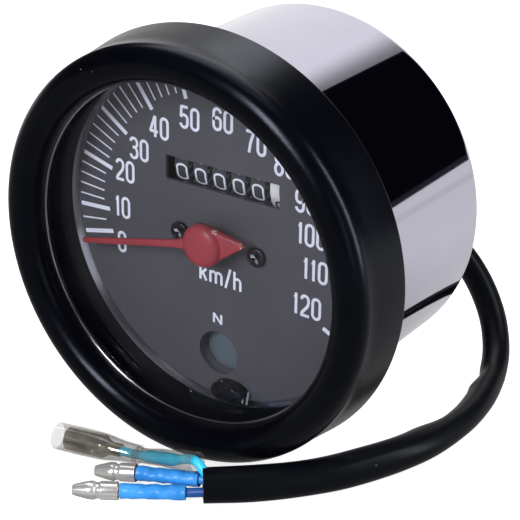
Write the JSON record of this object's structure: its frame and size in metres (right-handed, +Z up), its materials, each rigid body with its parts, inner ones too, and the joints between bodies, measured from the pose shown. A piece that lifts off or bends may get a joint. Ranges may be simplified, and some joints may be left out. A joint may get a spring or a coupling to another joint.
{
  "type": "vintage speedometer",
  "caption": "Round motorcycle speedometer: chrome cup, rubber bezel, glass, dial with odometer, red pointer, magnet movement and a wiring tail with bullet connectors.",
  "frame": {"origin": "centre of the cup's rear face, on the dial's axis", "axes": "+Y out of the rear along the drive axis, the dial faces -Y, +Z is up on the dial, +X is right on the dial"},
  "size_m": [0.0948, 0.1073, 0.093],
  "materials": {
    "chrome": "polished",
    "bezel_rubber": "satin",
    "nickel": "plated",
    "clear_glass": "clear",
    "grommet_rubber": "matt",
    "black_plastic": "satin",
    "dial_paint": "matt",
    "black_steel": "satin",
    "lens_plastic": "clear",
    "bulb_glass": "clear",
    "holder_rubber": "matt",
    "pointer_red": "satin",
    "steel": "turned",
    "aluminium": "plain",
    "bronze": "plain",
    "brass": "plain",
    "die_cast": "cast",
    "magnet_iron": "ground",
    "white_drum": "matt",
    "black_drum": "matt",
    "zinc_steel": "plated",
    "sheath_vinyl": "soft gloss",
    "blue_vinyl": "soft gloss",
    "dark_blue_vinyl": "soft gloss",
    "cyan_vinyl": "soft gloss",
    "clear_vinyl": "clear",
    "dull_nickel": "dull"
  },
  "bodies": {
    "housing": {"case": "chrome", "rubber_bezel": "bezel_rubber", "retaining_ring": "nickel", "glass": "clear_glass", "glass_gasket": "grommet_rubber", "inner_sleeve": "black_plastic", "dial": "dial_paint", "dial_screws": "black_steel", "lamp_hood": "black_plastic", "neutral_lens": "lens_plastic", "light_tube": "black_plastic", "neutral_bulb": "bulb_glass", "neutral_holder": "holder_rubber", "dial_bulb": "bulb_glass", "dial_lamp_holder": "holder_rubber", "hairspring": "bronze", "bridge_plate": "brass", "spindle_bush": "bronze", "pillars": "steel", "bridge_screws": "steel", "dial_posts": "steel", "base_plate": "die_cast", "cable_boss": "nickel", "drive_bush": "bronze", "odometer_bracket_left": "brass", "odometer_bracket_right": "brass", "odometer_axle": "steel", "pinion_axle": "steel", "rear_studs": "zinc_steel", "frame_screws": "zinc_steel", "wiring_grommet": "grommet_rubber", "wiring_sheath": "sheath_vinyl", "lead_upper": "blue_vinyl", "lead_lower": "dark_blue_vinyl", "lead_clear": "cyan_vinyl", "bullet_upper": "nickel", "bullet_lower": "nickel", "boot_upper": "blue_vinyl", "boot_lower": "blue_vinyl", "clear_sleeve": "clear_vinyl", "socket": "dull_nickel"},
    "needle": {"pointer": "pointer_red", "spindle": "steel", "drag_cup": "aluminium"},
    "drive": {"drive_shaft": "steel", "magnet": "magnet_iron", "field_cup": "steel"},
    "upright": {"upright_shaft": "steel"},
    "cross": {"cross_shaft": "steel"},
    "drum_tenths_body": {"drum_tenths": "white_drum"},
    "drum_units_body": {"drum_units": "black_drum"},
    "drum_tens_body": {"drum_tens": "black_drum"},
    "drum_hundreds_body": {"drum_hundreds": "black_drum"},
    "drum_thousands_body": {"drum_thousands": "black_drum"},
    "drum_ten_thousands_body": {"drum_ten_thousands": "black_drum"},
    "pinion_1": {"carry_pinion_1": "white_drum"},
    "pinion_2": {"carry_pinion_2": "white_drum"},
    "pinion_3": {"carry_pinion_3": "white_drum"},
    "pinion_4": {"carry_pinion_4": "white_drum"},
    "pinion_5": {"carry_pinion_5": "white_drum"}
  },
  "joints": [
    {"name": "drive_spin", "type": "hinge", "parent": "housing", "child": "drive", "pos_m": [0, 0, 0], "axis": [0, 1, 0], "continuous": true},
    {"name": "needle_swing", "type": "hinge", "parent": "housing", "child": "needle", "pos_m": [0, 0, 0], "axis": [0, 1, 0], "range_deg": [0, 221.6], "stiffness_Nm_per_rad": 0.00005, "springref_deg": -17.19},
    {"name": "upright_spin", "type": "hinge", "parent": "housing", "child": "upright", "pos_m": [0.006, -0.00535, 0], "axis": [0, 0, 1], "continuous": true},
    {"name": "cross_spin", "type": "hinge", "parent": "housing", "child": "cross", "pos_m": [0, -0.01485, 0.01866], "axis": [1, 0, 0], "continuous": true},
    {"name": "drum_tenths_spin", "type": "hinge", "parent": "housing", "child": "drum_tenths_body", "pos_m": [0.01298, -0.0292, 0.0125], "axis": [1, 0, 0], "continuous": true},
    {"name": "drum_units_spin", "type": "hinge", "parent": "housing", "child": "drum_units_body", "pos_m": [0.0081, -0.0292, 0.0125], "axis": [1, 0, 0], "continuous": true},
    {"name": "drum_tens_spin", "type": "hinge", "parent": "housing", "child": "drum_tens_body", "pos_m": [0.00324, -0.0292, 0.0125], "axis": [1, 0, 0], "continuous": true},
    {"name": "drum_hundreds_spin", "type": "hinge", "parent": "housing", "child": "drum_hundreds_body", "pos_m": [-0.00163, -0.0292, 0.0125], "axis": [1, 0, 0], "continuous": true},
    {"name": "drum_thousands_spin", "type": "hinge", "parent": "housing", "child": "drum_thousands_body", "pos_m": [-0.00651, -0.0292, 0.0125], "axis": [1, 0, 0], "continuous": true},
    {"name": "drum_ten_thousands_spin", "type": "hinge", "parent": "housing", "child": "drum_ten_thousands_body", "pos_m": [-0.01137, -0.0292, 0.0125], "axis": [1, 0, 0], "continuous": true},
    {"name": "pinion_1_spin", "type": "hinge", "parent": "housing", "child": "pinion_1", "pos_m": [0.01054, -0.0292, 0.02202], "axis": [1, 0, 0], "continuous": true},
    {"name": "pinion_2_spin", "type": "hinge", "parent": "housing", "child": "pinion_2", "pos_m": [0.00567, -0.0292, 0.02202], "axis": [1, 0, 0], "continuous": true},
    {"name": "pinion_3_spin", "type": "hinge", "parent": "housing", "child": "pinion_3", "pos_m": [0.0008, -0.0292, 0.02202], "axis": [1, 0, 0], "continuous": true},
    {"name": "pinion_4_spin", "type": "hinge", "parent": "housing", "child": "pinion_4", "pos_m": [-0.00407, -0.0292, 0.02202], "axis": [1, 0, 0], "continuous": true},
    {"name": "pinion_5_spin", "type": "hinge", "parent": "housing", "child": "pinion_5", "pos_m": [-0.00894, -0.0292, 0.02202], "axis": [1, 0, 0], "continuous": true}
  ],
  "couplings": [
    {"joint": "upright_spin", "follows": "drive_spin", "ratio": 0.05},
    {"joint": "cross_spin", "follows": "drive_spin", "ratio": -0.001},
    {"joint": "drum_tenths_spin", "follows": "drive_spin", "ratio": 0.001},
    {"joint": "drum_units_spin", "follows": "drive_spin", "ratio": 0.0001},
    {"joint": "drum_tens_spin", "follows": "drive_spin", "ratio": 0.00001},
    {"joint": "drum_hundreds_spin", "follows": "drive_spin", "ratio": 0.000001},
    {"joint": "drum_thousands_spin", "follows": "drive_spin", "ratio": 0.0000001},
    {"joint": "drum_ten_thousands_spin", "follows": "drive_spin", "ratio": 0.00000001},
    {"joint": "pinion_1_spin", "follows": "drive_spin", "ratio": -0.00025},
    {"joint": "pinion_2_spin", "follows": "drive_spin", "ratio": -0.000025},
    {"joint": "pinion_3_spin", "follows": "drive_spin", "ratio": -0.0000025},
    {"joint": "pinion_4_spin", "follows": "drive_spin", "ratio": -0.00000025},
    {"joint": "pinion_5_spin", "follows": "drive_spin", "ratio": -0.000000025}
  ]
}
